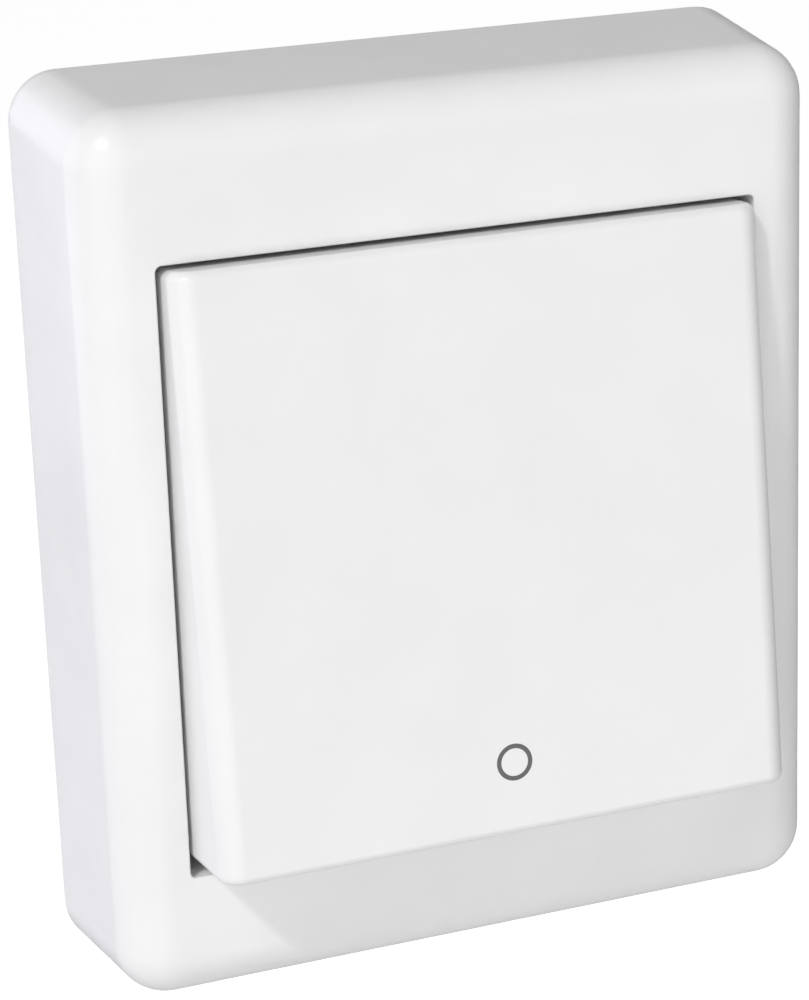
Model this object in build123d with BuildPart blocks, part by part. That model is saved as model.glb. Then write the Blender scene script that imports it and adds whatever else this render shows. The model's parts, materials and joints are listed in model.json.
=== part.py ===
from build123d import *
import os
from math import cos, radians, sin

# Surface-mounted two-pole light switch, modelled in millimetres with the switch on.
# Origin: middle of the wall face. X to the right, Z up, and the front looks along -Y.
# Depths are measured out from the wall, rises from the rocker's hinge towards its face.

os.makedirs("parts", exist_ok=True)

# Cover
cover_w = 71.0
cover_h = 84.0
frame_depth = 19.0          # wall to the flat front of the frame
rim_gap = 0.1               # seam between the base plate's rim and the cover
corner_r = 4.6              # corners in plan, at the wall
front_corner_r = 5.0        # corners in plan, at the front
front_round = 4.6
rear_round = 0.25
side_draft = 1.3            # how far each side leans in towards the front
wall_t = 2.0
front_t = 2.2
opening_w = 56.3
opening_h = 56.6
opening_z = -0.4            # middle of the opening, and of all that is behind it
opening_corner_r = 0.6
opening_chamfer = 0.12
collar_t = 1.6
ledge_depth = 7.5           # wall to the rear edge of the collar and of its tabs
tab_w = 14.0                # tabs that take the cover screws
tab_reach = 7.4
tab_t = 1.5
rib_t = 1.2
rib_depth = 5.0
rib_pitch_x = 18.8
rib_pitch_z = 37.7
knock_out_w = 16.0
knock_out_depth = 9.5       # wall to the far side of the knock-out
knock_out_web = 0.7
knock_out_groove = 0.9

# Base plate
rim_t = 0.5
rim_inset = 0.15
base_t = 2.2
base_fit = 0.25             # base platform to the inside of the cover, each side
post_d = 7.0
post_pitch = 48.4           # between the two cover screws
boss_d = 5.2
boss_h = 4.0
boss_gap = 0.2              # block's side to each boss
slot_pitch_x = 50.0
slot_pitch_z = 60.0
slot_w = 4.6
slot_l = 8.4
slot_pad_t = 0.8
slot_pad_rim = 2.2
entry_w = 22.0              # cable entry in the base, and the thinned one below
entry_h = 7.6
entry_z = 32.6
entry_web = 0.7

# Contact block
block_w = 45.0
block_depth = 11.0          # wall to the block's front
block_floor_t = 1.2
block_corner_r = 1.5
pole_x = 9.5                # each pole's middle line
chamber_w = 7.0
chamber_web = 0.6           # block left between a chamber and a pocket
pocket_w = 6.8
pocket_h = 6.0
pocket_rim = 0.4            # block left beyond each pocket
channel_w = 4.2
wire_hole_d = 3.2
side_pocket_w = 5.6
side_pocket_h = 13.0
side_pocket_x = 18.4
side_pocket_z = 0.0
ear_t = 2.0
ear_w = 8.0

# Bearing frame and hinge
frame_h = 27.0
frame_t = 1.8
frame_bar = 4.0             # width of the ring above and below its window
frame_side = 3.9            # and at each side
cheek_t = 2.2
cheek_w = 9.0
cheek_r = 2.9
cheek_slope = 75.0          # degrees, of each cheek's sides
pin_d = 3.0
pin_fit = 0.05              # hinge pin to its hole, on the radius
frame_screw_rim = 0.6       # screw's head to the edge of the ring
clamp_gap = 0.8             # ring to the heads of the clamp screws

# Rocker
rocker_w = 55.0             # at the face, the sharp sizes before rounding
rocker_h = 53.6
skirt_w = 55.5              # at the skirt's edge
skirt_h = 54.4
rocker_proud = 5.7          # middle of the rocker's face beyond the frame
face_rise = 10.3            # hinge to the rocker's face
rocker_tilt = 6.2           # either way from level
rocker_corner_r = 0.9
rocker_round = 2.2
cap_wall_t = 1.8
cap_face_t = 2.2
skirt_rise = 0.3            # hinge to the skirt's edge
cap_rib_t = 1.2
cap_rib_x = 14.5
cap_rib_y = 7.0
deck_rise = 3.0
deck_t = 2.0
cheek_gap = 0.3             # deck to each cheek
deck_h = 28.0
deck_corner_r = 1.5
arm_t = 2.2
arm_r = 2.4
hook_w = 5.0
hook_t = 1.2
hook_x = 10.5
hook_y = 11.2
hook_drop = 1.1
hook_barb = 0.7
hook_fit = 0.1
hook_side_fit = 0.2
tube_d = 6.4
tube_bore = 4.6
tube_drop = 3.4             # hinge to the tube's mouth

# Snap action and contacts
plunger_fit = 0.1
plunger_wall_t = 0.55
plunger_top = -0.5
plunger_nose_r = 1.2
plunger_floor_t = 1.2
plunger_gap = 0.1           # nose to the lever when the rocker is level
spring_wire = 0.45
spring_wire_sides = 6
spring_turns = 6.5
spring_fit = 0.1
strip_t = 0.5
strip_w = 3.8
pivot_rise = 2.4            # floor of the block to the lever's pivot
pivot_r = 0.4
pivot_fit = 0.05
lever_w = 6.0
lever_end_gap = 1.0         # lever to the ends of its chamber
lever_t = 0.8
lever_tilt = 4.5
stop_w = 1.4
stop_l = 1.6
stop_gap = 0.1
tip_d = 3.0
tip_t = 0.5
fixed_tip_t = 0.4
rivet_d = 1.5
rivet_fit = 0.05
terminal_w = 6.4
terminal_h = 5.6
terminal_t = 6.4
terminal_bore = 2.9
terminal_bore_rise = 2.6

# Screws: shank, head and head height
clamp_screw = (3.0, 4.6, 1.6)
small_screw = (2.3, 4.2, 1.4)
main_screw = (2.8, 5.0, 1.8)
screw_fit = 0.1             # shank to its hole, on the radius
slot_cut = 0.6
screw_end = 0.6             # metal or plastic left beyond a screw's end

# Places that follow from the sizes above
cheek_x = block_w / 2 - frame_side      # inner face of each cheek
deck_w = 2 * (cheek_x - cheek_gap)
ear_x = block_w / 2 + boss_gap + boss_d / 2
frame_screw_x = block_w / 2 - small_screw[1] / 2
frame_screw_z = frame_h / 2 - small_screw[1] / 2 - frame_screw_rim
pocket_z = frame_h / 2 + clamp_gap + clamp_screw[1] / 2
chamber_h = 2 * (pocket_z - pocket_h / 2 - chamber_web)
block_h = 2 * (pocket_z + pocket_h / 2 + pocket_rim)
lever_l = chamber_h - 2 * lever_end_gap
tip_y = lever_l / 2 - tip_d / 2         # pivot to the contact rivets
cover_rear = rim_t + rim_gap
hinge_depth = frame_depth + rocker_proud - face_rise
floor_depth = base_t + block_floor_t
pivot_depth = floor_depth + pivot_rise
boss_top = base_t + boss_h
post_z = post_pitch / 2
tilt_sin, tilt_cos = sin(radians(rocker_tilt)), cos(radians(rocker_tilt))
lever_sin, lever_cos = sin(radians(lever_tilt)), cos(radians(lever_tilt))
nose_reach = hinge_depth - pivot_depth - lever_t - plunger_gap
face_out = Vector(0, -tilt_cos, tilt_sin)
face_up = Vector(0, tilt_sin, tilt_cos)
lever_out = Vector(0, -lever_cos, -lever_sin)


def inset_at(depth):
    """How far the drafted sides have come in at this depth."""
    return side_draft * (depth - cover_rear) / (frame_depth - cover_rear)


def wall_plane(depth):
    """Parallel to the wall, about the middle of the cover."""
    return Plane(origin=(0, -depth, 0), x_dir=(1, 0, 0), z_dir=(0, -1, 0))


def insert_plane(depth, x=0):
    """Parallel to the wall, about the middle of the opening."""
    return Plane(origin=(x, -depth, opening_z), x_dir=(1, 0, 0), z_dir=(0, -1, 0))


def side_plane(x, depth):
    """Upright across the insert: local x up, local y out from the wall."""
    return Plane(origin=(x, -depth, opening_z), x_dir=(0, 0, 1), z_dir=(1, 0, 0))


def rocker_plane(rise, x=0):
    """Parallel to the tilted rocker's face."""
    origin = Vector(x, -hinge_depth, opening_z) + face_out * rise
    return Plane(origin=origin, x_dir=(1, 0, 0), z_dir=face_out)


def rocker_side_plane(x):
    """Across the tilted rocker at its hinge: local x up the face, local y out."""
    return Plane(
        origin=(x, -hinge_depth, opening_z), x_dir=tuple(face_up), z_dir=(1, 0, 0)
    )


def rocker_end_plane(reach):
    """Across the tilted rocker from side to side: local x right, local y out."""
    origin = Vector(0, -hinge_depth, opening_z) + face_up * reach
    return Plane(origin=origin, x_dir=(1, 0, 0), z_dir=-face_up)


def lever_plane(rise, x):
    """Parallel to a tilted contact lever, from its underside at the pivot."""
    origin = Vector(x, -pivot_depth, opening_z) + lever_out * rise
    return Plane(origin=origin, x_dir=(1, 0, 0), z_dir=lever_out)


def lever_side_plane(x):
    """Across a tilted contact lever at its pivot."""
    return Plane(
        origin=(x, -pivot_depth, opening_z), x_dir=(0, -lever_sin, lever_cos), z_dir=(1, 0, 0)
    )


def save(piece, name):
    piece.part.label = name
    export_step(piece.part, f"parts/{name}.step")


# Hollow of the cover, less the collar round the opening and the stiffening ribs
with BuildPart() as cover_hollow:
    with BuildSketch(wall_plane(cover_rear)):
        RectangleRounded(cover_w - 2 * wall_t, cover_h - 2 * wall_t, corner_r - wall_t)
    hollow_inset = wall_t + inset_at(frame_depth - front_t)
    with BuildSketch(wall_plane(frame_depth - front_t)):
        RectangleRounded(
            cover_w - 2 * hollow_inset, cover_h - 2 * hollow_inset, front_corner_r - wall_t
        )
    loft()
    fillet(cover_hollow.faces().sort_by(Axis.Y)[0].edges(), front_round - wall_t)
    with BuildSketch(insert_plane(ledge_depth)):
        Rectangle(opening_w + 2 * collar_t, opening_h + 2 * collar_t)
        RectangleRounded(opening_w, opening_h, opening_corner_r, mode=Mode.SUBTRACT)
    extrude(amount=frame_depth - ledge_depth, mode=Mode.SUBTRACT)
    with BuildSketch(insert_plane(frame_depth - front_t - rib_depth)):
        with GridLocations(rib_pitch_x, 1, 3, 1):
            Rectangle(rib_t, 2 * cover_h)
        with GridLocations(1, rib_pitch_z, 1, 2):
            Rectangle(2 * cover_w, rib_t)
        Rectangle(opening_w, opening_h, mode=Mode.SUBTRACT)
    extrude(amount=rib_depth, mode=Mode.SUBTRACT)

# Cover: a drafted box with a wide front rounding, the opening and the screw tabs
with BuildPart() as cover:
    with BuildSketch(wall_plane(cover_rear)):
        RectangleRounded(cover_w, cover_h, corner_r)
    with BuildSketch(wall_plane(frame_depth)):
        RectangleRounded(cover_w - 2 * side_draft, cover_h - 2 * side_draft, front_corner_r)
    loft()
    fillet(cover.faces().sort_by(Axis.Y)[0].edges(), front_round)
    fillet(cover.faces().sort_by(Axis.Y)[-1].edges(), rear_round)
    add(cover_hollow.part, mode=Mode.SUBTRACT)
    with BuildSketch(insert_plane(ledge_depth)):
        RectangleRounded(opening_w, opening_h, opening_corner_r)
    extrude(amount=frame_depth - ledge_depth, mode=Mode.SUBTRACT)
    with BuildSketch(insert_plane(ledge_depth)):
        with Locations((0, opening_h / 2), (0, -opening_h / 2)):
            Rectangle(tab_w, 2 * tab_reach)
        Rectangle(opening_w, opening_h, mode=Mode.INTERSECT)
        with Locations((0, post_z), (0, -post_z)):
            Circle(main_screw[0] / 2 + screw_fit, mode=Mode.SUBTRACT)
    extrude(amount=tab_t)
    # grooves that let a cable knock-out break away, top and bottom
    knock_out_top = cover_h / 2 - inset_at(knock_out_depth) - knock_out_web
    knock_out_low = cover_h / 2 - 2 * wall_t - side_draft
    with BuildSketch(wall_plane(cover_rear)):
        with GridLocations(knock_out_w - knock_out_groove, 1, 2, 1):
            Rectangle(knock_out_groove, 2 * knock_out_top)
        Rectangle(knock_out_w, 2 * knock_out_low, mode=Mode.SUBTRACT)
    extrude(amount=knock_out_depth - cover_rear, mode=Mode.SUBTRACT)
    with BuildSketch(wall_plane(knock_out_depth - knock_out_groove)):
        Rectangle(knock_out_w, 2 * knock_out_top)
        Rectangle(knock_out_w, 2 * knock_out_low, mode=Mode.SUBTRACT)
    extrude(amount=knock_out_groove, mode=Mode.SUBTRACT)
    # soft edge where the opening meets the front
    rim_edges = cover.edges().filter_by_position(Axis.Y, -frame_depth - 0.01, -frame_depth + 0.01)
    rim_edges = rim_edges.filter_by(
        lambda edge: abs(edge.center().X) < opening_w / 2 + opening_chamfer
        and abs(edge.center().Z - opening_z) < opening_h / 2 + opening_chamfer
    )
    chamfer(rim_edges, opening_chamfer)
save(cover, "cover")


# Base plate: the rim that shows behind the cover, the platform inside it, bosses and slots
with BuildPart() as base_plate:
    with BuildSketch(wall_plane(0)):
        RectangleRounded(
            cover_w - 2 * rim_inset, cover_h - 2 * rim_inset, corner_r - rim_inset
        )
    extrude(amount=rim_t)
    platform_inset = wall_t + inset_at(base_t) + base_fit
    with BuildSketch(wall_plane(0)):
        RectangleRounded(
            cover_w - 2 * platform_inset, cover_h - 2 * platform_inset, corner_r - wall_t
        )
    extrude(amount=base_t)
    with BuildSketch(wall_plane(base_t)):
        with GridLocations(slot_pitch_x, slot_pitch_z, 2, 2):
            SlotOverall(slot_l + 2 * slot_pad_rim, slot_w + 2 * slot_pad_rim)
    extrude(amount=slot_pad_t)
    with BuildSketch(insert_plane(base_t)):
        with Locations((0, post_z), (0, -post_z)):
            Circle(post_d / 2)
    extrude(amount=ledge_depth - base_t)
    with BuildSketch(insert_plane(base_t)):
        with Locations((ear_x, 0), (-ear_x, 0)):
            Circle(boss_d / 2)
    extrude(amount=boss_h)
    # pilot holes for the cover and insert screws
    with BuildSketch(insert_plane(screw_end)):
        with Locations((0, post_z), (0, -post_z), (ear_x, 0), (-ear_x, 0)):
            Circle(main_screw[0] / 2 + screw_fit)
    extrude(amount=ledge_depth, mode=Mode.SUBTRACT)
    # slots for the wall screws, the cable entry and a second entry left closed by a thin web
    with BuildSketch(wall_plane(0)):
        with GridLocations(slot_pitch_x, slot_pitch_z, 2, 2):
            SlotOverall(slot_l, slot_w)
        with Locations((0, entry_z)):
            SlotOverall(entry_w, entry_h)
    extrude(amount=base_t + slot_pad_t, mode=Mode.SUBTRACT)
    with BuildSketch(wall_plane(entry_web)):
        with Locations((0, -entry_z)):
            SlotOverall(entry_w, entry_h)
    extrude(amount=base_t, mode=Mode.SUBTRACT)
save(base_plate, "base_plate")


# Contact block: two contact chambers, each between two terminal pockets
poles = (-pole_x, pole_x)
with BuildPart() as contact_block:
    with BuildSketch(insert_plane(base_t)):
        RectangleRounded(block_w, block_h, block_corner_r)
    extrude(amount=block_depth - base_t)
    with BuildSketch(insert_plane(boss_top)):
        Rectangle(2 * (ear_x + boss_d / 2), ear_w)
    extrude(amount=ear_t)
    with BuildSketch(insert_plane(boss_top)):
        with Locations((ear_x, 0), (-ear_x, 0)):
            Circle(main_screw[0] / 2 + screw_fit)
    extrude(amount=ear_t, mode=Mode.SUBTRACT)
    with BuildSketch(insert_plane(floor_depth)):
        with GridLocations(2 * pole_x, 1, 2, 1):
            Rectangle(chamber_w, chamber_h)
            Rectangle(channel_w, 2 * pocket_z)
        with GridLocations(2 * pole_x, 2 * pocket_z, 2, 2):
            Rectangle(pocket_w, pocket_h)
        with Locations((-side_pocket_x, side_pocket_z), (side_pocket_x, side_pocket_z)):
            Rectangle(side_pocket_w, side_pocket_h)
    extrude(amount=block_depth - floor_depth, mode=Mode.SUBTRACT)
    # stops under the raised end of each lever, beside its strip
    stop_y = lever_l / 2 - stop_l / 2
    stop_rise = pivot_rise - lever_l / 2 * lever_sin - stop_gap
    with BuildSketch(insert_plane(floor_depth)):
        with GridLocations(2 * pole_x, 1, 2, 1):
            with Locations((0, stop_y)):
                with GridLocations(chamber_w - stop_w, 1, 2, 1):
                    Rectangle(stop_w, stop_l)
    extrude(amount=stop_rise)
    # wire entries at both ends, and pilot holes for the bearing frame's screws
    wire_depth = floor_depth + strip_t + terminal_bore_rise
    with BuildSketch(Plane(origin=(0, -wire_depth, opening_z), z_dir=(0, 0, 1))):
        with Locations((-pole_x, 0), (pole_x, 0)):
            Circle(wire_hole_d / 2)
    extrude(amount=block_h, both=True, mode=Mode.SUBTRACT)
    with BuildSketch(insert_plane(floor_depth)):
        with Locations((frame_screw_x, frame_screw_z), (-frame_screw_x, -frame_screw_z)):
            Circle(small_screw[0] / 2 + screw_fit)
    extrude(amount=block_depth - floor_depth, mode=Mode.SUBTRACT)
save(contact_block, "contact_block")


# Bearing frame: a ring on the block, with a cheek at each end of the hinge
with BuildPart() as bearing_frame:
    with BuildSketch(insert_plane(block_depth)):
        RectangleRounded(block_w, frame_h, block_corner_r)
        Rectangle(2 * cheek_x, frame_h - 2 * frame_bar, mode=Mode.SUBTRACT)
        with Locations((frame_screw_x, frame_screw_z), (-frame_screw_x, -frame_screw_z)):
            Circle(small_screw[0] / 2 + screw_fit, mode=Mode.SUBTRACT)
    extrude(amount=frame_t)
    cheek_foot = hinge_depth - block_depth - frame_t / 2
    for inner in (cheek_x, -cheek_x - cheek_t):
        with BuildSketch(side_plane(inner, hinge_depth)):
            Circle(cheek_r)
            with Locations((0, -cheek_foot / 2)):
                Trapezoid(cheek_w, cheek_foot, cheek_slope, cheek_slope)
            Circle(pin_d / 2 + pin_fit, mode=Mode.SUBTRACT)
        extrude(amount=cheek_t)
save(bearing_frame, "bearing_frame")


# Profile of the rocker: sides that lean in to the face, with rounded shoulders
def rocker_profile(skirt_size, face_size):
    low, high = skirt_size / 2, face_size / 2
    with BuildSketch() as profile:
        with BuildLine():
            Polyline(
                (-low, skirt_rise), (low, skirt_rise), (high, face_rise), (-high, face_rise),
                close=True,
            )
        make_face()
        fillet(profile.vertices().group_by(Axis.Y)[-1], rocker_round)
    return profile.sketch


# Rocker cap: a shallow lid on the tilted plane, with ribs and four snap hooks inside
with BuildPart() as rocker_cap:
    with BuildSketch(rocker_end_plane(skirt_h / 2)):
        add(rocker_profile(skirt_w, rocker_w))
    extrude(amount=skirt_h)
    with BuildSketch(rocker_side_plane(-skirt_w / 2)):
        Rectangle(2 * skirt_h, 2 * skirt_h)
        add(rocker_profile(skirt_h, rocker_h), mode=Mode.SUBTRACT)
    extrude(amount=skirt_w, mode=Mode.SUBTRACT)
    # the four upright corners, rounded up and over the shoulders
    corner_edges = rocker_cap.edges().filter_by(
        lambda edge: abs(edge.center().X) > rocker_w / 2 - rocker_round
        and abs((edge.center() - Vector(0, -hinge_depth, opening_z)).dot(face_up))
        > rocker_h / 2 - rocker_round
        and abs((edge @ 1 - edge @ 0).dot(face_out)) > rocker_round / 2
    )
    fillet(corner_edges, rocker_corner_r)
    with BuildSketch(rocker_plane(skirt_rise)):
        Rectangle(rocker_w - 2 * cap_wall_t, rocker_h - 2 * cap_wall_t)
    extrude(amount=face_rise - skirt_rise - cap_face_t, mode=Mode.SUBTRACT)
    deck_top = deck_rise + deck_t
    with BuildSketch(rocker_plane(deck_top)):
        with GridLocations(1, 2 * cap_rib_y, 1, 2):
            Rectangle(rocker_w - 2 * cap_wall_t, cap_rib_t)
        with GridLocations(2 * cap_rib_x, 1, 2, 1):
            Rectangle(cap_rib_t, rocker_h - 2 * cap_wall_t)
    extrude(amount=face_rise - cap_face_t - deck_top)
    hook_end = deck_rise - hook_drop
    with BuildSketch(rocker_plane(hook_end)):
        with GridLocations(2 * hook_x, 2 * hook_y + hook_t, 2, 2):
            Rectangle(hook_w, hook_t)
    extrude(amount=face_rise - cap_face_t - hook_end)
    with BuildSketch(rocker_plane(hook_end)):
        with GridLocations(2 * hook_x, 2 * (hook_y + hook_t) + hook_barb, 2, 2):
            Rectangle(hook_w, hook_barb)
    extrude(amount=hook_drop - hook_fit)
save(rocker_cap, "rocker_cap")


# Rocker carrier: the deck under the cap, its hinge arms and pins, and the two spring tubes
with BuildPart() as rocker_carrier:
    with BuildSketch(rocker_plane(deck_rise)):
        RectangleRounded(deck_w, deck_h, deck_corner_r)
    extrude(amount=deck_t)
    slot_inner = hook_y - hook_barb - hook_fit
    slot_outer = hook_y + hook_t + hook_fit
    with BuildSketch(rocker_plane(deck_rise)):
        with GridLocations(2 * hook_x, slot_inner + slot_outer, 2, 2):
            Rectangle(hook_w + 2 * hook_side_fit, slot_outer - slot_inner)
    extrude(amount=deck_t, mode=Mode.SUBTRACT)
    for inner in (deck_w / 2 - arm_t, -deck_w / 2):
        with BuildSketch(rocker_side_plane(inner)):
            Circle(arm_r)
            with Locations((0, deck_rise / 2)):
                Rectangle(2 * arm_r, deck_rise)
        extrude(amount=arm_t)
    with BuildSketch(rocker_side_plane(-cheek_x - cheek_t)):
        Circle(pin_d / 2)
    extrude(amount=cheek_x + cheek_t - deck_w / 2 + arm_t)
    with BuildSketch(rocker_side_plane(deck_w / 2 - arm_t)):
        Circle(pin_d / 2)
    extrude(amount=cheek_x + cheek_t - deck_w / 2 + arm_t)
    with BuildSketch(rocker_plane(-tube_drop)):
        with Locations((-pole_x, 0), (pole_x, 0)):
            Circle(tube_d / 2)
    extrude(amount=deck_rise + tube_drop)
    with BuildSketch(rocker_plane(0)):
        Rectangle(2 * pole_x, cap_rib_t)
    extrude(amount=deck_rise)
    with BuildSketch(rocker_plane(-tube_drop)):
        with Locations((-pole_x, 0), (pole_x, 0)):
            Circle(tube_bore / 2)
    extrude(amount=deck_rise + tube_drop, mode=Mode.SUBTRACT)
save(rocker_carrier, "rocker_carrier")


# Plunger: a hollow pin with a round nose, sliding in its tube
def make_plunger(x):
    radius = tube_bore / 2 - plunger_fit
    bore = radius - plunger_wall_t
    shoulder = -nose_reach + plunger_nose_r
    floor = shoulder + plunger_floor_t
    with BuildPart() as plunger:
        with BuildSketch(rocker_side_plane(x)):
            with BuildLine():
                CenterArc((0, shoulder), plunger_nose_r, -90, 90)
                Polyline(
                    (plunger_nose_r, shoulder),
                    (radius, shoulder + radius - plunger_nose_r),
                    (radius, plunger_top),
                    (bore, plunger_top),
                    (bore, floor),
                    (0, floor),
                    (0, -nose_reach),
                )
            make_face()
        revolve(axis=Axis((x, -hinge_depth, opening_z), tuple(face_out)))
    return plunger


# Spring: one coil from the plunger's floor to the roof of its tube
def make_spring(x):
    low = -nose_reach + plunger_nose_r + plunger_floor_t + spring_wire / 2 + spring_fit
    high = deck_rise - spring_wire / 2 - spring_fit
    radius = tube_bore / 2 - plunger_fit - plunger_wall_t - spring_fit - spring_wire / 2
    with BuildPart() as spring:
        with BuildLine(rocker_plane(low, x)) as coil:
            Helix((high - low) / spring_turns, high - low, radius, direction=tuple(face_out))
        with BuildSketch(Plane(origin=coil.line @ 0, z_dir=coil.line % 0)):
            RegularPolygon(spring_wire / 2, spring_wire_sides)
        sweep(path=coil.line, is_frenet=True)
    return spring


# Contact lever: a strip that rocks on the saddle's crest, bored for its rivet
def make_lever(x):
    with BuildPart() as lever:
        with BuildSketch(lever_plane(0, x)):
            RectangleRounded(lever_w, lever_l, lever_t)
            with Locations((0, -tip_y)):
                Circle(rivet_d / 2 + rivet_fit, mode=Mode.SUBTRACT)
        extrude(amount=lever_t)
        with BuildSketch(lever_side_plane(x - lever_w / 2)):
            Circle(pivot_r + pivot_fit)
        extrude(amount=lever_w, mode=Mode.SUBTRACT)
    return lever


# Rivet under the lever's closing end
def make_lever_tip(x):
    with BuildPart() as tip:
        with BuildSketch(lever_plane(-tip_t, x)):
            with Locations((0, -tip_y)):
                Circle(tip_d / 2)
        extrude(amount=tip_t)
        with BuildSketch(lever_plane(0, x)):
            with Locations((0, -tip_y)):
                Circle(rivet_d / 2)
        extrude(amount=lever_t)
    return tip


# Pivot contact: a strip from the upper terminal, folded up into the saddle
def make_pivot_contact(x):
    with BuildPart() as contact:
        with BuildSketch(side_plane(x - strip_w / 2, floor_depth)):
            strip_end = pocket_z + pocket_h / 2 - rivet_fit
            with Locations((strip_end / 2 - pivot_r, strip_t / 2)):
                Rectangle(strip_end, strip_t)
            with Locations((0, pivot_rise / 2)):
                Rectangle(2 * pivot_r, pivot_rise)
            with Locations((0, pivot_rise)):
                Circle(pivot_r)
        extrude(amount=strip_w)
    return contact


# Fixed contact: a flat strip from the lower terminal, bored for its rivet
def make_fixed_contact(x):
    strip_start = tip_y - tip_d / 2
    strip_end = pocket_z + pocket_h / 2 - rivet_fit
    with BuildPart() as contact:
        with BuildSketch(insert_plane(floor_depth, x)):
            with Locations((0, -(strip_start + strip_end) / 2)):
                Rectangle(strip_w, strip_end - strip_start)
            with Locations((0, -tip_y)):
                Circle(rivet_d / 2 + rivet_fit, mode=Mode.SUBTRACT)
        extrude(amount=strip_t)
    return contact


# Terminal: a brass block on the strip's end, bored for the wire and its clamp screw
def make_terminal(x, z):
    seat = floor_depth + strip_t
    bore_depth = seat + terminal_bore_rise
    with BuildPart() as terminal:
        with BuildSketch(insert_plane(seat, x)):
            with Locations((0, z)):
                Rectangle(terminal_w, terminal_h)
        extrude(amount=terminal_t)
        with BuildSketch(Plane(origin=(x, -bore_depth, opening_z + z), z_dir=(0, 0, 1))):
            Circle(terminal_bore / 2)
        extrude(amount=terminal_h, both=True, mode=Mode.SUBTRACT)
        with BuildSketch(insert_plane(bore_depth, x)):
            with Locations((0, z)):
                Circle(clamp_screw[0] / 2 + screw_fit)
        extrude(amount=terminal_t, mode=Mode.SUBTRACT)
    return terminal


# Slotted screws of one size, as separate solids driven in from the front
def make_screws(places, seat, length, size):
    shank_d, head_d, head_t = size
    with BuildPart() as screws:
        with BuildSketch(insert_plane(seat - length)):
            with Locations(*places):
                Circle(shank_d / 2)
        extrude(amount=length)
        with BuildSketch(insert_plane(seat)):
            with Locations(*places):
                Circle(head_d / 2)
        extrude(amount=head_t)
        with BuildSketch(insert_plane(seat + head_t / 2)):
            with Locations(*places):
                Rectangle(head_d, slot_cut)
        extrude(amount=head_t / 2, mode=Mode.SUBTRACT)
    return screws


for side, x in (("left", -pole_x), ("right", pole_x)):
    save(make_plunger(x), f"plunger_{side}")
    save(make_spring(x), f"spring_{side}")
    save(make_lever(x), f"contact_lever_{side}")
    save(make_lever_tip(x), f"lever_tip_{side}")
    save(make_pivot_contact(x), f"pivot_contact_{side}")
    save(make_fixed_contact(x), f"fixed_contact_{side}")
    save(make_terminal(x, pocket_z), f"terminal_line_{side}")
    save(make_terminal(x, -pocket_z), f"terminal_load_{side}")

with BuildPart() as fixed_tips:
    with BuildSketch(insert_plane(floor_depth)):
        with Locations((-pole_x, -tip_y), (pole_x, -tip_y)):
            Circle(rivet_d / 2)
    extrude(amount=strip_t)
    with BuildSketch(insert_plane(floor_depth + strip_t)):
        with Locations((-pole_x, -tip_y), (pole_x, -tip_y)):
            Circle(tip_d / 2)
    extrude(amount=fixed_tip_t)
save(fixed_tips, "fixed_tips")

terminal_front = floor_depth + strip_t + terminal_t
clamp_places = [(x, z) for x in poles for z in (-pocket_z, pocket_z)]
clamp_length = terminal_t - terminal_bore_rise
save(make_screws(clamp_places, terminal_front, clamp_length, clamp_screw), "terminal_screws")

ear_front = boss_top + ear_t
ear_places = [(-ear_x, 0), (ear_x, 0)]
save(make_screws(ear_places, ear_front, ear_front - 2 * screw_end, main_screw), "insert_screws")

tab_front = ledge_depth + tab_t
post_places = [(0, -post_z), (0, post_z)]
save(make_screws(post_places, tab_front, tab_front - 2 * screw_end, main_screw), "cover_screws")

frame_front = block_depth + frame_t
frame_places = [(-frame_screw_x, -frame_screw_z), (frame_screw_x, frame_screw_z)]
frame_length = frame_front - floor_depth - screw_end
save(make_screws(frame_places, frame_front, frame_length, small_screw), "frame_screws")
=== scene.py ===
import json
from math import cos, pi, radians, sin

import bpy
import numpy as np
from mathutils import Matrix, Vector


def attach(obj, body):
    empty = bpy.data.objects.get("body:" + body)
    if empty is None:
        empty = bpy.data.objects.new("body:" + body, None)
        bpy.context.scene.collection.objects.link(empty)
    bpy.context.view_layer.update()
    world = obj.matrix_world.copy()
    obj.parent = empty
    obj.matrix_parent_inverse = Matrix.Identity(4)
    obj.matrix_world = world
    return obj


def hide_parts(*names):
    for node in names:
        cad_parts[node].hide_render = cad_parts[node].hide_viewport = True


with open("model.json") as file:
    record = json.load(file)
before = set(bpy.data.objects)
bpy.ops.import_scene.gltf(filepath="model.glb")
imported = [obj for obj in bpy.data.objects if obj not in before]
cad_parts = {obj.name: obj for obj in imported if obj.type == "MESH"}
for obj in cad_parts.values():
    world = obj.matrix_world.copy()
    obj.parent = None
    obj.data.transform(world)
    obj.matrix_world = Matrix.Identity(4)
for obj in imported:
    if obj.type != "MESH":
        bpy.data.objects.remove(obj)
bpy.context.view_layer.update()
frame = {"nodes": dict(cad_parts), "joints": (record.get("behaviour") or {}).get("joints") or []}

# Surface-mounted rocker switch. Metres, the wall is the plane y = 0 and the front looks along -Y.
mm = 0.001
scene = bpy.context.scene
nodes = frame["nodes"]

hinge = [j for j in frame["joints"] if j["name"] == "rocker_hinge"][0]
hingePoint = np.array(hinge["pos_m"])
rockerTilt = radians(hinge["range_deg"][1] / 2)      # the rest pose is one end of the travel
faceOut = np.array([0, -cos(rockerTilt), sin(rockerTilt)])
faceUp = np.array([0, sin(rockerTilt), cos(rockerTilt)])
right = np.array([1.0, 0, 0])


# Shader sockets with operators

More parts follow.
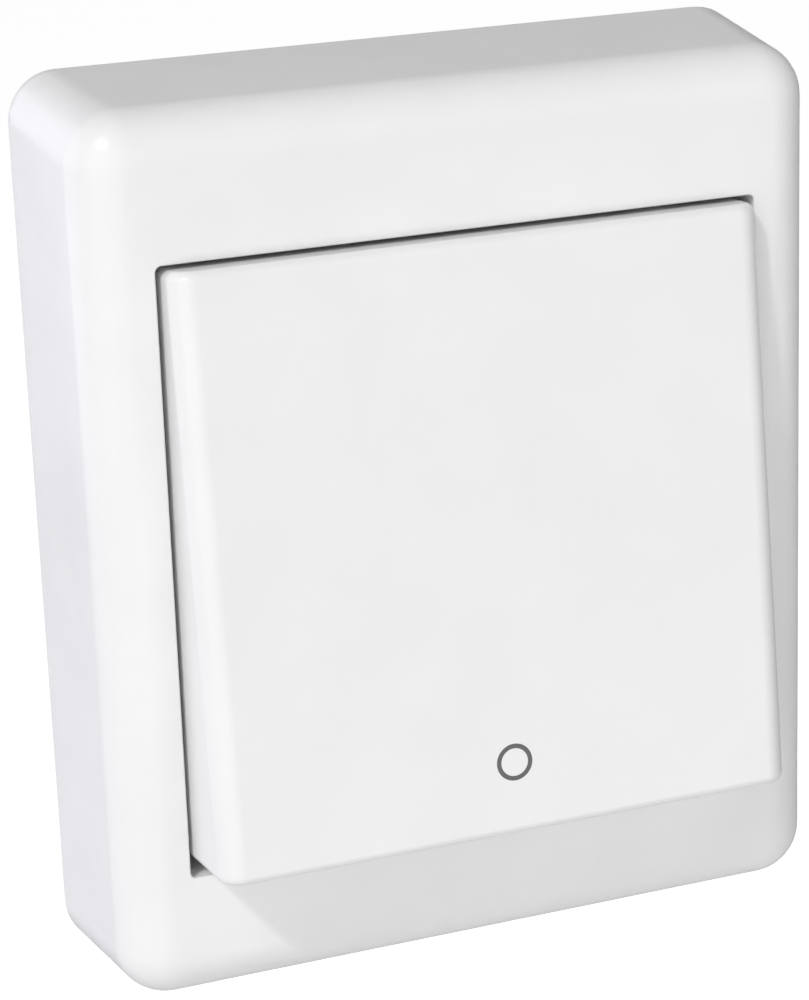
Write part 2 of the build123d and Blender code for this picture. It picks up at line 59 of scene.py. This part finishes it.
class Socket:
    # one output of a node, so that shader maths reads as a plain expression
    def __init__(self, finish, out):
        self.finish, self.out = finish, out

    def maths(self, operation, *values):
        return self.finish.node("ShaderNodeMath", {"operation": operation}, values)

    def __add__(self, other):
        return self.maths("ADD", self, other)

    def __radd__(self, other):
        return self.maths("ADD", other, self)

    def __mul__(self, other):
        return self.maths("MULTIPLY", self, other)

    def __rmul__(self, other):
        return self.maths("MULTIPLY", other, self)

    def within(self, low, high):
        # 0 at low, 1 at high, smooth between
        settings = {"interpolation_type": "SMOOTHSTEP"}
        values = {"Value": self, "From Min": low, "From Max": high}
        return self.finish.node("ShaderNodeMapRange", settings, values)


class Finish:
    # one material: its tree, a method for any node, and the few patterns used here
    def __init__(self, name):
        self.material = bpy.data.materials.new(name)
        self.material.use_nodes = True
        self.tree = self.material.node_tree
        self.shader = self.tree.nodes["Principled BSDF"]

    def node(self, kind, settings=None, values=(), output=0):
        # settings first, then the values or links of its sockets, by place or by name
        made = self.tree.nodes.new(kind)
        for key, value in (settings or {}).items():
            setattr(made, key, value)
        pairs = values.items() if isinstance(values, dict) else enumerate(values)
        for key, value in pairs:
            self.feed(made.inputs[key], value)
        return Socket(self, made.outputs[output])

    def feed(self, target, value):
        if isinstance(value, Socket):
            self.tree.links.new(value.out, target)
        elif hasattr(value, "__len__") and len(value) == 3 and target.type == "RGBA":
            target.default_value = (*value, 1)
        else:
            target.default_value = value

    def set(self, **values):
        # spaces in a socket's name are written as underscores
        for key, value in values.items():
            self.feed(self.shader.inputs[key.replace("_", " ")], value)

    def place(self, stretch=(1, 1, 1)):
        # object coordinates in millimetres, stretched for brushed patterns
        spot = self.node("ShaderNodeTexCoord", output="Object")
        scale = tuple(s / mm for s in stretch)
        return self.node("ShaderNodeVectorMath", {"operation": "MULTIPLY"}, (spot, scale))

    def noise(self, place, size, detail=2.0, roughness=0.5):
        # soft noise whose features are about size millimetres wide, 0 to 1
        values = {"Vector": place, "Scale": 1 / size, "Detail": detail, "Roughness": roughness}
        return self.node("ShaderNodeTexNoise", {}, values)

    def blend(self, factor, first, second):
        # the mix node has sockets of every type under the same names, so each is found by both
        values = {("Factor", "VALUE"): factor, ("A", "RGBA"): first, ("B", "RGBA"): second}
        mix = self.tree.nodes.new("ShaderNodeMix")
        mix.data_type = "RGBA"
        for key, value in values.items():
            self.feed([s for s in mix.inputs if (s.name, s.type) == key][0], value)
        return Socket(self, [o for o in mix.outputs if o.type == "RGBA"][0])

    def bump(self, height, depth):
        # height is 0 to 1, depth is its size in millimetres
        values = {"Strength": 1.0, "Distance": depth * mm, "Height": height}
        return self.node("ShaderNodeBump", {}, values)


def put(finish, *names):
    # gives a finish to CAD nodes
    for name in names:
        slots = nodes[name].data.materials
        slots.clear()
        slots.append(finish.material)


# Finishes

glossPlastic = {
    "colour": (0.865, 0.865, 0.862),
    "shade": (0.845, 0.847, 0.846),
    "roughness": (0.20, 0.27),
    "mottle": 9.0,             # mm
    "flow": 1.6,               # mm, the faint unevenness of a moulded gloss
    "flowDepth": 0.0006,       # mm
    "ior": 1.34,
}


def makeGlossPlastic(name, facts):
    finish = Finish(name)
    place = finish.place()
    cloud = finish.noise(place, facts["mottle"], 3)
    flow = finish.noise(place, facts["flow"], 2)
    low, high = facts["roughness"]
    finish.set(
        Base_Color=finish.blend(cloud.within(0.3, 0.7), facts["colour"], facts["shade"]),
        Roughness=low + (high - low) * flow,
        Normal=finish.bump(flow, facts["flowDepth"]),
        IOR=facts["ior"],
    )
    return finish


put(makeGlossPlastic("coverGloss", glossPlastic), "cover")
put(makeGlossPlastic("rockerGloss", glossPlastic), "rocker_cap")

satinPlastics = {              # colour, its darker cloud, roughness, grain depth (mm), nodes
    "basePlastic": ((0.80, 0.80, 0.78), (0.76, 0.76, 0.74), (0.38, 0.52), 0.004, ("base_plate",)),
    "blockPlastic": ((0.70, 0.70, 0.67), (0.64, 0.64, 0.61), (0.42, 0.58), 0.006, ("contact_block",)),
    "bearingPlastic": ((0.50, 0.52, 0.54), (0.45, 0.47, 0.49), (0.40, 0.55), 0.005, ("bearing_frame",)),
    "carrierPlastic": ((0.78, 0.78, 0.75), (0.72, 0.72, 0.69), (0.35, 0.50), 0.004, ("rocker_carrier",)),
    "plungerPlastic": (
        (0.085, 0.09, 0.095), (0.06, 0.063, 0.067), (0.28, 0.40), 0.002,
        ("plunger_left", "plunger_right"),
    ),
}
satinPattern = {"cloud": 6.0, "grain": 0.22, "flow": 2.5, "drawnOut": (1, 1, 0.25)}      # mm, stretch


def makeSatinPlastic(name, colour, cloud, roughness, depth):
    # spark-eroded grain over the slow clouds of a moulding
    finish = Finish(name)
    place = finish.place()
    cloudy = finish.noise(place, satinPattern["cloud"], 3)
    grain = finish.noise(place, satinPattern["grain"], 3, 0.65)
    flow = finish.noise(finish.place(satinPattern["drawnOut"]), satinPattern["flow"], 2)
    low, high = roughness
    finish.set(
        Base_Color=finish.blend(cloudy.within(0.3, 0.7), colour, cloud),
        Roughness=low + (high - low) * (0.6 * grain + 0.4 * flow),
        Normal=finish.bump(grain, depth),
        IOR=1.5,
    )
    return finish


for name, (colour, cloud, roughness, depth, names) in satinPlastics.items():
    put(makeSatinPlastic(name, colour, cloud, roughness, depth), *names)

metals = {                     # colour, tarnish, grain along each axis, roughness, scratch depth (mm), nodes
    "brushedBrass": (
        (0.78, 0.57, 0.25), (0.52, 0.34, 0.13), (9, 9, 0.5), (0.22, 0.42), 0.0022,
        ("contact_lever_left", "contact_lever_right", "pivot_contact_left", "pivot_contact_right",
         "fixed_contact_left", "fixed_contact_right"),
    ),
    "machinedBrass": (
        (0.80, 0.60, 0.28), (0.60, 0.41, 0.17), (0.4, 7, 0.4), (0.16, 0.34), 0.003,
        ("terminal_line_left", "terminal_line_right", "terminal_load_left", "terminal_load_right"),
    ),
    "silverTip": ((0.90, 0.89, 0.86), (0.70, 0.67, 0.60), (1, 1, 1), (0.14, 0.30), 0.001, ()),
    "zincSteel": ((0.66, 0.68, 0.71), (0.50, 0.53, 0.58), (1.5, 1.5, 1.5), (0.20, 0.38), 0.0018, ()),
    "springSteel": ((0.56, 0.56, 0.57), (0.40, 0.39, 0.39), (2, 2, 2), (0.18, 0.30), 0.001, ()),
}
metalPattern = {"lines": 0.9, "patches": 2.4}      # mm


def makeMetal(name, colour, tarnish, grain, roughness, depth):
    # fine lines drawn out along the slow axis of the grain, and a thin tarnish in patches
    finish = Finish(name)
    lines = finish.noise(finish.place(grain), metalPattern["lines"], 3, 0.6)
    patches = finish.noise(finish.place(), metalPattern["patches"], 4, 0.6).within(0.45, 0.75)
    low, high = roughness
    finish.set(
        Base_Color=finish.blend(patches * 0.6 + lines * 0.15, colour, tarnish),
        Metallic=1.0,
        Roughness=low + (high - low) * (0.6 * lines + 0.4 * patches),
        Normal=finish.bump(lines, depth),
    )
    return finish


metalFinish = {}
for name, (colour, tarnish, grain, roughness, depth, names) in metals.items():
    metalFinish[name] = makeMetal(name, colour, tarnish, grain, roughness, depth)
    put(metalFinish[name], *names)
put(metalFinish["springSteel"], "spring_left", "spring_right")
put(metalFinish["silverTip"], "lever_tip_left", "lever_tip_right", "fixed_tips")
put(metalFinish["zincSteel"], "terminal_screws", "insert_screws", "cover_screws", "frame_screws")
print("finishes done")


# Smooth shading of the solids

smoothing = {"splitAngle": 40.0, "weld": 0.0005, "weight": 100}      # degrees, mm, pull of the large faces


def smoothNode(obj):
    obj.data.shade_smooth()
    weld = obj.modifiers.new("weld", "WELD")
    weld.merge_threshold = smoothing["weld"] * mm
    split = obj.modifiers.new("split", "EDGE_SPLIT")
    split.split_angle = radians(smoothing["splitAngle"])
    normals = obj.modifiers.new("normals", "WEIGHTED_NORMAL")
    normals.weight = smoothing["weight"]
    normals.keep_sharp = True


for obj in nodes.values():
    smoothNode(obj)


# Surfaces

def addMesh(name, points, faces, finish, body):
    mesh = bpy.data.meshes.new(name)
    mesh.from_pydata(points.reshape(-1, 3).tolist(), [], faces.tolist())
    mesh.validate()
    mesh.shade_smooth()
    mesh.materials.append(finish.material)
    obj = bpy.data.objects.new(name, mesh)
    scene.collection.objects.link(obj)
    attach(obj, body)
    return obj


def gridFaces(rows, columns, wrapRows):
    # quads between neighbours (i, j), (i, j+1), (i+1, j+1), (i+1, j); the columns close on themselves,
    # and the rows do where the grid is a ring
    i = np.arange(rows if wrapRows else rows - 1)
    i, j = (part.ravel() for part in np.meshgrid(i, np.arange(columns), indexing="ij"))
    here, below = i * columns, (i + 1) % rows * columns
    nextJ = (j + 1) % columns
    return np.column_stack([here + j, here + nextJ, below + nextJ, below + j])


def place3(origin, across, up, out, parts):
    # millimetres along three directions from an origin in metres
    a, b, c = np.broadcast_arrays(*parts)
    return origin + mm * (a[..., None] * across + b[..., None] * up + c[..., None] * out)


def closedGrid(rows, columns, start):
    # a tube of quads round its columns, with a face over each end
    faces = (gridFaces(rows, columns, False) + start).tolist()
    first = (start + np.arange(columns)[::-1]).tolist()
    last = (start + (rows - 1) * columns + np.arange(columns)).tolist()
    return faces + [first, last]


def addTubes(name, grids, finish, body, node=None):
    # closed tubes (rows, columns, 3) as one piece, in place of a CAD node when one is named
    points, faces, start = [], [], 0
    for grid in grids:
        rows, columns = grid.shape[:2]
        points.append(grid.reshape(-1, 3))
        faces += closedGrid(rows, columns, start)
        start += rows * columns
    mesh = bpy.data.meshes.new(name)
    mesh.from_pydata(np.vstack(points).tolist(), [], faces)
    mesh.materials.append(finish.material)
    obj = bpy.data.objects.new(name, mesh)
    scene.collection.objects.link(obj)
    smoothNode(obj)
    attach(obj, body)
    if node:
        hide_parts(node)
    return obj


# Springs: round wire with a closed coil at each end

coilSpring = {
    "x": 9.5, "low": -4.975, "high": 2.675,    # mm from the hinge along the rocker's face normal
    "radius": 1.325, "wire": 0.225,            # coil's and wire's
    "turns": 7.5, "closed": 0.47,              # turns, and the pitch of the closed ones
    "closedTurns": 0.75, "easing": 0.5,        # turns closed at each end, and turns to reach the open pitch
    "steps": 60, "round": 16,                  # points per turn, and round the wire
    "endTip": 0.0004,                          # share of the wire's radius left at its tip
}


def makeSpring(side, facts):
    # tube v of the wire's radius round a coil u; height is the running sum of the pitch, which is
    # the closed one at the ends, and the open coils share what height is left
    count = int(facts["turns"] * facts["steps"])
    turn = np.linspace(0, facts["turns"], count)
    edge = np.minimum(turn, facts["turns"] - turn)
    ease = np.clip((edge - facts["closedTurns"]) / facts["easing"], 0, 1)
    ease = ease * ease * (3 - 2 * ease)
    step = turn[1] - turn[0]
    span, closed = facts["high"] - facts["low"], facts["closed"]
    opening = (span - closed * facts["turns"]) / (ease[1:].sum() * step)
    height = facts["low"] + np.concatenate([[0], np.cumsum(closed + opening * ease[1:]) * step])
    u = 2 * pi * turn
    pitch = (closed + opening * ease) / (2 * pi)
    slope = np.sqrt(facts["radius"] ** 2 + pitch ** 2)
    # the wire narrows to a rounded end over its own radius
    reach = np.clip(edge * 2 * pi * facts["radius"] / facts["wire"], facts["endTip"], 1)
    wire = facts["wire"] * np.sqrt(1 - (1 - reach) ** 2)
    v = np.linspace(0, 2 * pi, facts["round"], endpoint=False)[None, :]
    radial, rise = wire[:, None] * np.cos(v), wire[:, None] * np.sin(v)
    # radial along the coil's radius, rise at right angles to it and to the wire
    u, slope, pitch, height = (part[:, None] for part in (u, slope, pitch, height))
    reachOut = facts["radius"] + radial
    across = reachOut * np.cos(u) + rise * pitch / slope * np.sin(u)
    up = reachOut * np.sin(u) - rise * pitch / slope * np.cos(u)
    out = height + rise * facts["radius"] / slope
    origin = hingePoint + mm * facts["x"] * side[1] * right
    points = place3(origin, right, faceUp, faceOut, (across, up, out))
    steel = metalFinish["springSteel"]
    return addTubes("coil_" + side[0], [points[::-1]], steel, "rocker", "spring_" + side[0])


for side in (("left", -1), ("right", 1)):
    makeSpring(side, coilSpring)
print("springs done")


# Screws: threaded shanks and slotted heads

screwSets = {                  # places (mm), seat off the wall, length, shank, head, head height, pitch
    "terminal_screws": (
        ((-9.5, 16.2), (9.5, 16.2), (-9.5, -17.0), (9.5, -17.0)), 10.3, 3.8, 3.0, 4.6, 1.6, 0.5,
    ),
    "insert_screws": (((-25.3, -0.4), (25.3, -0.4)), 8.2, 7.0, 2.8, 5.0, 1.8, 1.1),
    "cover_screws": (((0.0, -24.6), (0.0, 23.8)), 9.0, 7.8, 2.8, 5.0, 1.8, 1.1),
    "frame_screws": (((-20.4, -11.2), (20.4, 10.4)), 12.8, 8.8, 2.3, 4.2, 1.4, 0.9),
}
screwShape = {
    "slot": 0.6, "edge": 0.35, "dome": 0.12,               # mm: slot's width, rim's rounding, rise of the top
    "thread": 0.13, "tip": 0.9, "point": 0.35,             # mm: ridge's height, run-out, taper of the tip
    "sunk": 0.2,                                           # mm, how far the shank reaches into its head
    "ridge": 0.32,                                         # half width of the ridge, in pitches
    "rowsPerPitch": 14, "round": 40,                       # points along and round the shank
    "rimSlices": 14, "slotSlices": 4, "chordPoints": 25,   # points across and along the head
}


def makeShank(x, z, seat, length, shank, pitch, facts):
    # shank radius by angle u and length h: the core, and a ridge that winds once per pitch
    rows = max(int(length / pitch * facts["rowsPerPitch"]), facts["round"])
    h = np.linspace(0, length, rows)[:, None]
    u = np.linspace(0, 2 * pi, facts["round"], endpoint=False)[None, :]
    wave = (h / pitch + u / (2 * pi)) % 1
    ridge = np.clip(1 - np.abs(wave - 0.5) / facts["ridge"], 0, 1)
    runOut = np.clip(h / facts["tip"], 0, 1)
    radius = shank / 2 - facts["thread"] * (1 - ridge * runOut) - facts["point"] * (1 - runOut) ** 2
    depth = seat + facts["sunk"] - (length + facts["sunk"]) * (1 - h / length)
    origin = mm * np.array([x, 0, z])
    return place3(origin, right, np.array([0, 0, 1.0]), np.array([0, -1.0, 0]),
                  (radius * np.cos(u), radius * np.sin(u), depth + 0 * u))


def makeHead(x, z, seat, head, height, facts):
    # slices s across the slot; each is a loop along the head's chord at the top and back below.
    # The top falls away with the distance from the middle and rounds over at the rim
    radius, slot = head / 2, facts["slot"] / 2
    outer = slot + (radius * 0.9995 - slot) * np.sin(np.linspace(0, pi / 2, facts["rimSlices"]))
    inner = np.linspace(0, slot, facts["slotSlices"])
    s = np.concatenate([-outer[::-1], -inner[::-1], inner[1:], outer])[:, None]
    place = np.arange(s.size)[:, None]
    floor = (place >= outer.size) & (place < s.size - outer.size)
    chord = np.sqrt(radius ** 2 - s ** 2)
    x1 = chord * np.sin(np.linspace(-pi / 2, pi / 2, facts["chordPoints"]))[None, :]
    away = np.sqrt(s ** 2 + x1 ** 2)
    rim = np.clip((away - radius + facts["edge"]) / facts["edge"], 0, 1)
    top = height - facts["dome"] * (away / radius) ** 2 - facts["edge"] * (1 - np.sqrt(1 - rim ** 2))
    top = np.where(floor, height / 2, top)
    across = np.hstack([x1, x1[:, ::-1]])
    out = seat + np.hstack([top, np.zeros_like(top)])
    origin = mm * np.array([x, 0, z])
    return place3(origin, right, np.array([0, 0, 1.0]), np.array([0, -1.0, 0]), (across, s + 0 * across, out))


for name, (places, seat, length, shank, head, height, pitch) in screwSets.items():
    grids = []
    for x, z in places:
        grids.append(makeShank(x, z, seat, length, shank, pitch, screwShape))
        grids.append(makeHead(x, z, seat, head, height, screwShape))
    addTubes(name + "_threaded", grids, metalFinish["zincSteel"], "base", name)
print("screws done")


# Contact rivets with domed faces

rivet = {                      # mm
    "face": 1.5, "rim": 0.16,              # radius of the face and height of its rim
    "shank": 0.75, "corner": 0.08,         # radius of the shank and bevel of its end
    "leverHeight": 0.5, "leverShank": -0.8, "reach": 10.5,             # on the levers, off their pivots
    "fixedHeight": 0.4, "fixedShank": -0.5,                            # on the strips
    "fixedAcross": 9.5, "fixedOff": 3.9, "fixedBelow": 10.9,           # where those stand
    "pole": 0.01, "swellRows": 12, "round": 40,            # radius left at the ends, and points
}


def makeRivet(origin, up, out, height, shankEnd, facts):
    # profile v turned through u: the shank, the collar and a face that swells from rim to middle
    face, shank, pole, corner, rim = (facts[key] for key in ("face", "shank", "pole", "corner", "rim"))
    swell = np.linspace(0, pi / 2, facts["swellRows"])[:-1]
    radius = np.concatenate([[pole, shank - corner, shank, shank, face], face * np.cos(swell), [pole]])
    shankRise = [shankEnd, shankEnd, shankEnd - np.sign(shankEnd) * corner, 0, 0]
    rise = np.concatenate([shankRise, rim + (height - rim) * np.sin(swell), [height]])
    radius, rise = radius[:, None], rise[:, None]
    u = np.linspace(0, 2 * pi, facts["round"], endpoint=False)[None, :]
    return place3(origin, right, up, out, (radius * np.cos(u), radius * np.sin(u), rise + 0 * u))


leverTilt = radians(4.5)       # half the levers' travel
leverOut = np.array([0, -cos(leverTilt), -sin(leverTilt)])
leverUp = np.array([0, -sin(leverTilt), cos(leverTilt)])
levers = [j for j in frame["joints"] if j["name"] != "rocker_hinge"]
for joint in levers:
    side = "left" if joint["pos_m"][0] < 0 else "right"
    origin = np.array(joint["pos_m"]) - mm * rivet["reach"] * leverUp
    grid = makeRivet(origin, leverUp, -leverOut, rivet["leverHeight"], rivet["leverShank"], rivet)
    silver, body = metalFinish["silverTip"], "lever_" + side
    addTubes("rivet_" + side, [grid[::-1]], silver, body, "lever_tip_" + side)

grids = []
for x in (-rivet["fixedAcross"], rivet["fixedAcross"]):
    origin = mm * np.array([x, -rivet["fixedOff"], -rivet["fixedBelow"]])
    up, out = np.array([0, 0, 1.0]), np.array([0, -1.0, 0])
    grids.append(makeRivet(origin, up, out, rivet["fixedHeight"], rivet["fixedShank"], rivet))
addTubes("rivets_fixed", grids, metalFinish["silverTip"], "base", "fixed_tips")
print("rivets done")


# Off mark: a printed ring on the lower half of the rocker

offRing = {
    "below": 20.36,            # mm, face centre to the ring's
    "right": 0.2,
    "radius": 1.5,
    "stroke": 0.43,
    "height": 0.03,
    "rise": 10.3,              # hinge to the face
    "ink": (0.105, 0.105, 0.105),
    "round": 128, "section": 24,       # points round the ring and round its section
}


def makeOffRing(facts):
    # a full turn u of a flat ellipse v: radius + stroke/2 cos v, height sin v
    u = np.linspace(0, 2 * pi, facts["round"], endpoint=False)[:, None]
    v = np.linspace(0, 2 * pi, facts["section"], endpoint=False)[None, :]
    radius = facts["radius"] + facts["stroke"] / 2 * np.cos(v)
    rise = facts["rise"] + facts["height"] * np.sin(v)
    across, up = facts["right"] + radius * np.cos(u), radius * np.sin(u) - facts["below"]
    points = hingePoint + mm * (
        across[..., None] * right + up[..., None] * faceUp + (rise + 0 * u)[..., None] * faceOut
    )
    faces = gridFaces(facts["round"], facts["section"], True)
    finish = Finish("ringInk")
    grain = finish.noise(finish.place(), 0.12, 2)
    finish.set(
        Base_Color=finish.blend(grain, facts["ink"], tuple(1.25 * c for c in facts["ink"])),
        Roughness=0.35 + 0.1 * grain,
    )
    return addMesh("off_ring", points, faces[:, ::-1], finish, "rocker")


makeOffRing(offRing)
print("off ring done")


# Camera

view = {
    "place": (-99.32, -274.25, 94.95),         # mm
    "turn": (0.30193, -0.38471, -0.08435),     # turn vector from straight on
    "lens": 115.87,                            # mm on a 36 mm sensor along the frame's long side
    "centre": (511.32, 455.56),                # pixels, where the lens axis meets the frame
    "frame": (809, 1000),
    "near": 0.01, "far": 20,                   # m
}


def addCamera(facts):
    data = bpy.data.cameras.new("camera")
    data.sensor_fit = "VERTICAL"
    data.sensor_height = 36
    data.lens = facts["lens"]
    width, height = facts["frame"]
    data.shift_x = (width / 2 - facts["centre"][0]) / height
    data.shift_y = (facts["centre"][1] - height / 2) / height
    data.clip_start, data.clip_end = facts["near"], facts["far"]
    camera = bpy.data.objects.new("camera", data)
    scene.collection.objects.link(camera)
    turn = Vector(facts["turn"])
    spin = Matrix.Rotation(turn.length, 3, turn.normalized())
    straight = Matrix(((1, 0, 0), (0, 0, -1), (0, 1, 0)))     # image x, y and depth for a level view
    flip = Matrix(((1, 0, 0), (0, -1, 0), (0, 0, -1)))
    rotation = (spin @ straight).transposed() @ flip
    camera.matrix_world = Matrix.Translation(Vector(facts["place"]) * mm) @ rotation.to_4x4()
    scene.camera = camera


addCamera(view)


# Light and floor

lamps = {                      # where each softbox stands (m), its width and height (m), watts, colour
    "key": ((-1.15, -1.00, 1.50), (0.14, 0.14), 11.6, (1, 1, 1)),
    "keySoft": ((-1.20, -0.90, 1.60), (0.8, 0.8), 9.6, (1, 1, 1)),
    "frontLeft": ((-1.7, -1.7, 0.3), (2.2, 2.2), 17.4, (1, 1, 1)),
    "front": ((0.2, -2.4, 0.2), (2.2, 2.2), 4.6, (1, 1, 1)),
    "frontLow": ((0.2, -2.0, -0.7), (2.2, 0.35), 4.8, (1, 1, 1)),
    "frontRight": ((1.7, -1.7, 0.2), (2.2, 2.2), 9.2, (1, 1, 1)),
    "rearLeft": ((-1.7, 1.5, 0.3), (2.2, 2.2), 18.2, (0.965, 0.930, 1.105)),
}
surround = 0.260               # strength of the white world as light
floorFacts = {"height": -0.90, "reach": 6.0, "colour": (0.80, 0.80, 0.80), "shown": 0.76}      # m, m


def addLamp(name, place, size, power, colour):
    data = bpy.data.lights.new(name, "AREA")
    data.shape = "RECTANGLE"
    data.size, data.size_y = size
    data.energy = power
    data.color = colour
    lamp = bpy.data.objects.new(name, data)
    lamp.location = place
    lamp.rotation_euler = (-Vector(place)).to_track_quat("-Z", "Y").to_euler()
    scene.collection.objects.link(lamp)


for name, facts in lamps.items():
    addLamp(name, *facts)


def makeWorld(strength):
    world = bpy.data.worlds.new("surround")
    world.use_nodes = True
    scene.world = world
    tree = world.node_tree
    background = tree.nodes["Background"]
    path = tree.nodes.new("ShaderNodeLightPath")
    shown = tree.nodes.new("ShaderNodeMapRange")       # white to the camera, softer as light
    shown.inputs["To Min"].default_value = strength
    shown.inputs["To Max"].default_value = 1
    tree.links.new(path.outputs["Is Camera Ray"], shown.inputs["Value"])
    tree.links.new(shown.outputs["Result"], background.inputs["Strength"])
    background.inputs["Color"].default_value = (1, 1, 1, 1)


makeWorld(surround)


def addFloor(facts):
    # a square with its own faint light to the camera alone, so that it shows white and keeps the shadow
    reach, height = facts["reach"], facts["height"]
    signs = ((-1, -1), (1, -1), (1, 1), (-1, 1))
    corners = [(reach * x, reach * y, height) for x, y in signs]
    mesh = bpy.data.meshes.new("floor")
    mesh.from_pydata(corners, [], [(0, 1, 2, 3)])
    floor = bpy.data.objects.new("floor", mesh)
    scene.collection.objects.link(floor)
    finish = Finish("paleFloor")
    path = finish.node("ShaderNodeLightPath", output="Is Camera Ray")
    finish.set(Base_Color=facts["colour"], Roughness=0.9, Emission_Color=(1, 1, 1))
    finish.feed(finish.shader.inputs["Emission Strength"], path * facts["shown"])
    mesh.materials.append(finish.material)


addFloor(floorFacts)
print("camera, light and floor done")

scene.view_settings.view_transform = "Standard"
